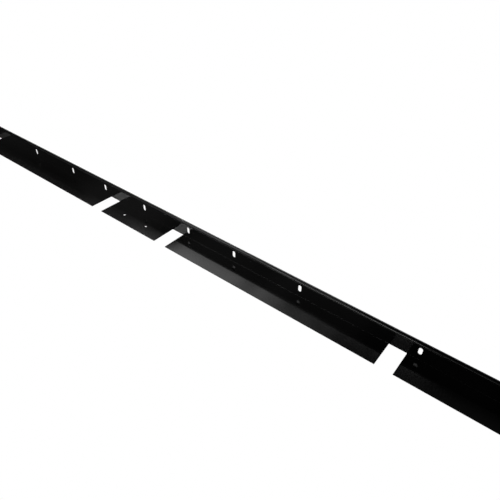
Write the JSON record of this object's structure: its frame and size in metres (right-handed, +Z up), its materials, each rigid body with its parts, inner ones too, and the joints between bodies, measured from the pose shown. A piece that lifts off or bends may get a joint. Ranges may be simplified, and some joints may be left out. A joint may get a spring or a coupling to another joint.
{
  "type": "snow plow blade lower angle",
  "caption": "Long black L-shaped steel angle for the lower edge of a small snow plow blade, with upright bolt slots, a notched ledge and a round bar behind its top edge.",
  "frame": {"origin": "on the plane of the ledge's underside, halfway along the bar and halfway between the front edge of the ledge and the back of the edge rod", "axes": "+X along the bar, the ledge points to -Y, +Z up from the underside of the ledge to the edge rod"},
  "size_m": [1.524, 0.0576, 0.0313],
  "materials": {
    "black_powder_coat": "semi-gloss black powder coat over sheet steel"
  },
  "bodies": {
    "root": {"folded_angle": "black_powder_coat", "edge_rod": "black_powder_coat", "rod_welds": "black_powder_coat"}
  },
  "joints": []
}
